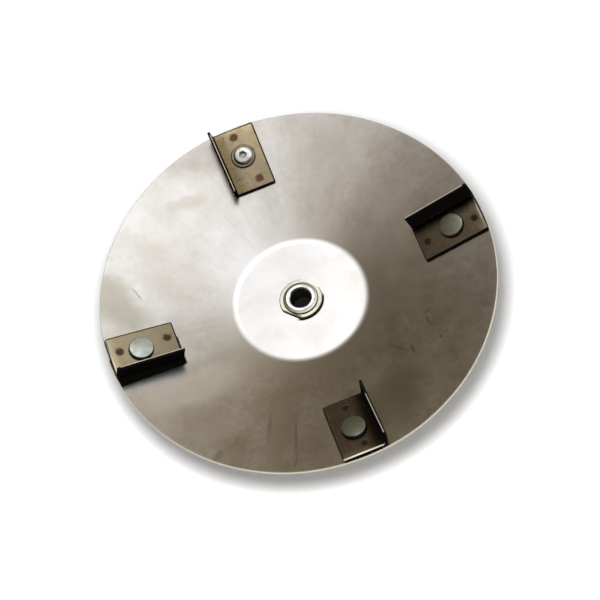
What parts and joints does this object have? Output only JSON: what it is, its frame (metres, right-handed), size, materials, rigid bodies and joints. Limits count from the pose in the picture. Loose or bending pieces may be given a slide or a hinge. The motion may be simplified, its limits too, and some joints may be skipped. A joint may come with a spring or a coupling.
{
  "type": "spinner disc with vanes",
  "caption": "Concave sheet-steel spinner disc with a flat centre, a bored hub held by a nut, and bolted angle vanes at the rim that throw loose material outwards.",
  "frame": {"origin": "on the hub's axis, at the hub's lower end, which is also the bottom centre of the whole part", "axes": "+Z along the hub's axis, towards the open side of the cone; +X through the bolt of vane_1, +Y through the bolt of vane_2"},
  "size_m": [0.3, 0.3, 0.0518],
  "materials": {
    "rolled_steel": "satin rolled sheet with smudges",
    "heat_tinted_steel": "satin sheet with heat tint",
    "turned_steel": "fine turned",
    "zinc_plate": "dull zinc plate"
  },
  "bodies": {
    "root": {"disc": "rolled_steel", "hub_bush": "turned_steel", "hub_washer": "zinc_plate", "hub_nut": "zinc_plate", "vane_1": "heat_tinted_steel", "vane_2": "heat_tinted_steel", "vane_3": "heat_tinted_steel", "vane_4": "heat_tinted_steel", "cup_head_bolt_1": "zinc_plate", "cup_head_bolt_3": "zinc_plate", "cup_head_bolt_4": "zinc_plate", "button_head_screw_2": "zinc_plate", "vane_washer_1": "zinc_plate", "vane_washer_2": "zinc_plate", "vane_washer_3": "zinc_plate", "vane_washer_4": "zinc_plate", "vane_lock_nut_1": "zinc_plate", "vane_lock_nut_2": "zinc_plate", "vane_lock_nut_3": "zinc_plate", "vane_lock_nut_4": "zinc_plate"}
  },
  "joints": []
}
